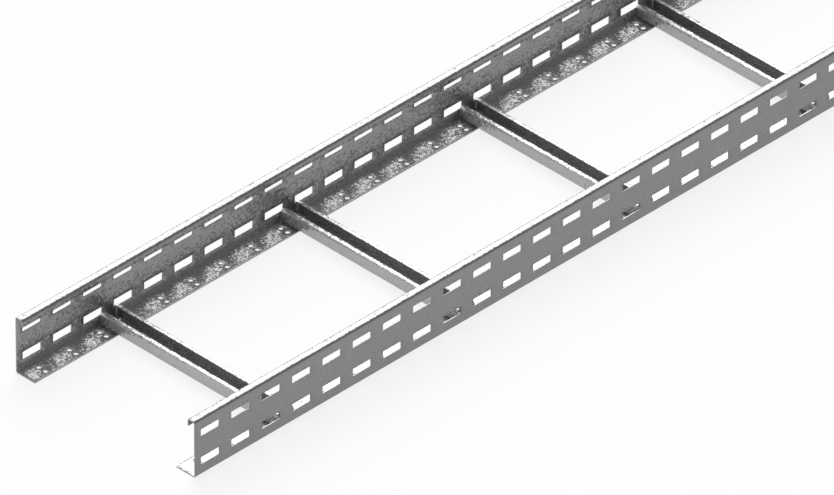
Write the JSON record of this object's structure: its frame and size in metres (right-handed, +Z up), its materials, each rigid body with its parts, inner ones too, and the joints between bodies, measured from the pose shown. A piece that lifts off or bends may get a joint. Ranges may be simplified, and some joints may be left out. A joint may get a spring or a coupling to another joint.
{
  "type": "cable ladder section",
  "caption": "Cable ladder section: two slotted side rails folded from steel sheet, joined by open-topped channel rungs.",
  "frame": {"origin": "middle of the ladder's footprint, on the undersides of the bottom flanges", "axes": "+X along the side rails, +Y across to the left rail, +Z up from the flanges to the open top"},
  "size_m": [3, 0.3, 0.08],
  "materials": {
    "rail_steel": "zinc-coated sheet steel, dull grey, faintly mottled",
    "rung_steel": "zinc-coated sheet steel, dull grey, faintly mottled"
  },
  "bodies": {
    "root": {"side_rail_left": "rail_steel", "side_rail_right": "rail_steel", "rung_01": "rung_steel", "rung_02": "rung_steel", "rung_03": "rung_steel", "rung_04": "rung_steel", "rung_05": "rung_steel", "rung_06": "rung_steel", "rung_07": "rung_steel", "rung_08": "rung_steel", "rung_09": "rung_steel", "rung_10": "rung_steel"}
  },
  "joints": []
}
